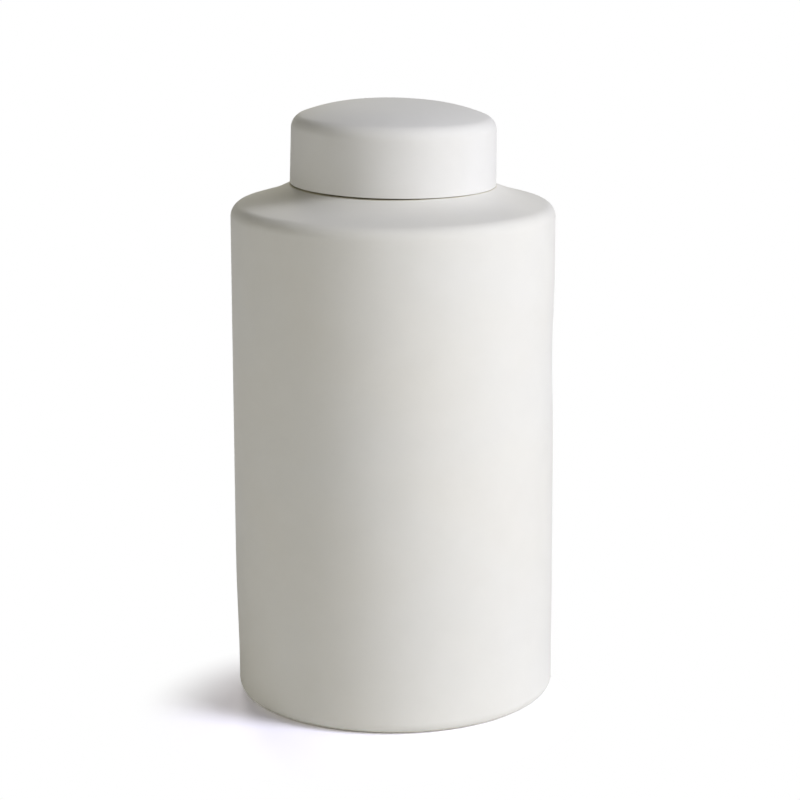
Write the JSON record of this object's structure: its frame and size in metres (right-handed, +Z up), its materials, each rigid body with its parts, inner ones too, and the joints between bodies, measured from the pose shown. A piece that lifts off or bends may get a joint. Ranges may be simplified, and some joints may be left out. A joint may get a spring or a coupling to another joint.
{
  "type": "lidded ceramic jar",
  "caption": "Tall straight-sided round jar with a sloping shoulder and neck collar, closed by a domed cap lid that rests on a turned seat and lifts off.",
  "frame": {"origin": "on the jar's axis, at the level that the foot ring stands on", "axes": "+Z up along the axis of the turned forms; the whole jar is round about it, so +X and +Y are free"},
  "size_m": [0.165, 0.165, 0.3077],
  "materials": {
    "body_glaze": "satin matte off-white glaze, bare clay on the foot ring, the seat and the collar's lip",
    "lid_glaze": "satin matte off-white glaze, bare clay on the rim that rests on the seat"
  },
  "bodies": {
    "jar": {"jar_body": "body_glaze"},
    "cap": {"lid": "lid_glaze"}
  },
  "joints": [
    {"name": "lid_lift", "type": "slide", "parent": "jar", "child": "cap", "axis": [0, 0, 1], "range_m": [0, 0.04]}
  ]
}
